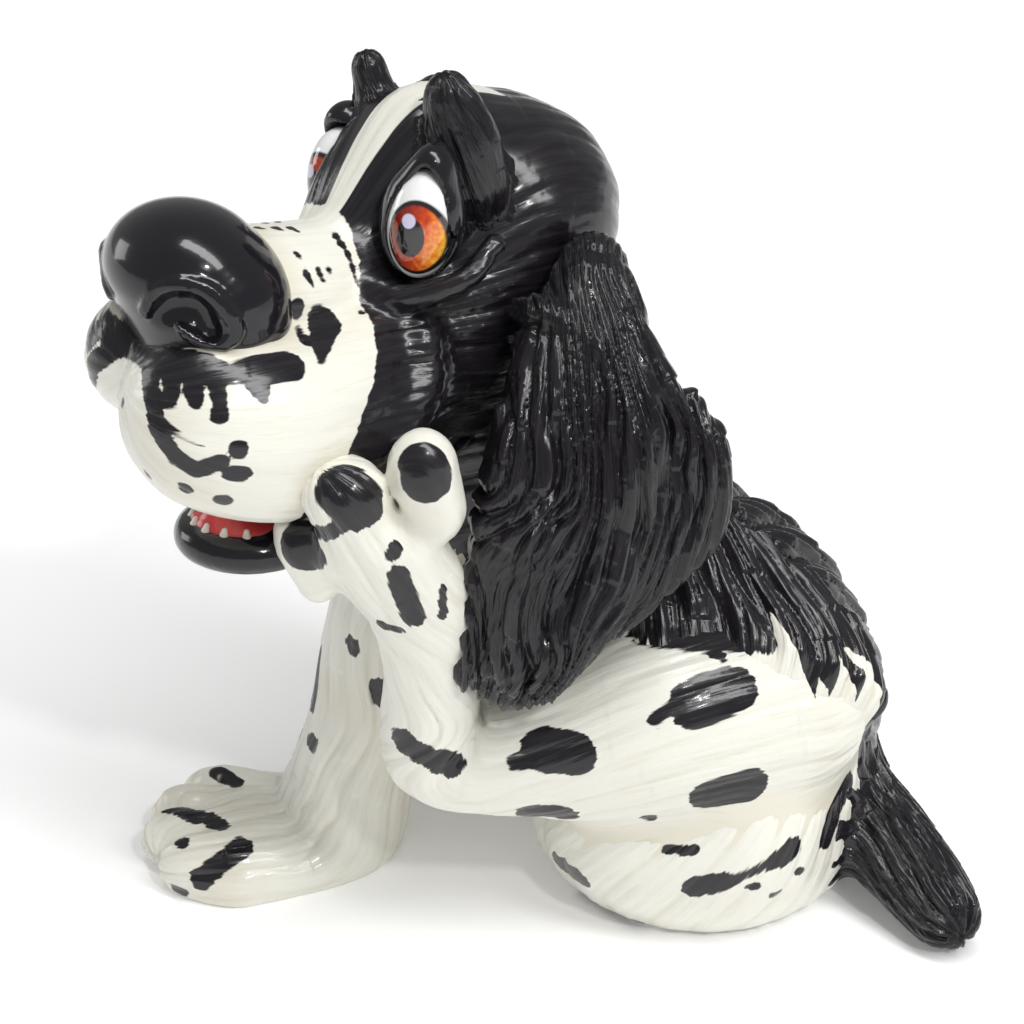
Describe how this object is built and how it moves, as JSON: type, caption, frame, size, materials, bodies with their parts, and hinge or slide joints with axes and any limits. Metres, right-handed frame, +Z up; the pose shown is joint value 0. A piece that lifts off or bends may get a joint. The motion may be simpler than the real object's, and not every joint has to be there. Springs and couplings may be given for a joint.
{
  "type": "dog figurine",
  "caption": "Glazed ceramic figurine of a black and white spaniel sitting and scratching its chin with a raised hind leg, standing on a flat foot ring.",
  "frame": {"origin": "on the table, under the middle of the figure's outline seen from above", "axes": "+Z up; the dog's body faces -Y; the dog's left side is +X"},
  "size_m": [0.0985, 0.1518, 0.1536],
  "materials": {
    "spotted_glaze": "white glaze with hand-painted black spots, glossy",
    "pied_glaze": "black glaze with a white muzzle and blaze, glossy",
    "black_glaze": "black glaze over modelled hair, glossy",
    "red_glaze": "glossy red glaze",
    "ivory_glaze": "glossy ivory glaze",
    "painted_eye": "hand-painted iris under a clear glaze"
  },
  "bodies": {
    "root": {"body_shell": "spotted_glaze", "back_coat": "black_glaze", "tail": "black_glaze", "left_foreleg": "spotted_glaze", "right_foreleg": "spotted_glaze", "left_hind_leg": "spotted_glaze", "right_hind_leg": "spotted_glaze", "head_shell": "pied_glaze", "nose": "black_glaze", "lower_jaw": "black_glaze", "mouth_lining": "red_glaze", "lower_teeth": "ivory_glaze", "left_eye": "painted_eye", "right_eye": "painted_eye", "left_eyelid": "black_glaze", "right_eyelid": "black_glaze", "left_brow": "black_glaze", "right_brow": "black_glaze", "left_ear": "black_glaze", "right_ear": "black_glaze"}
  },
  "joints": []
}
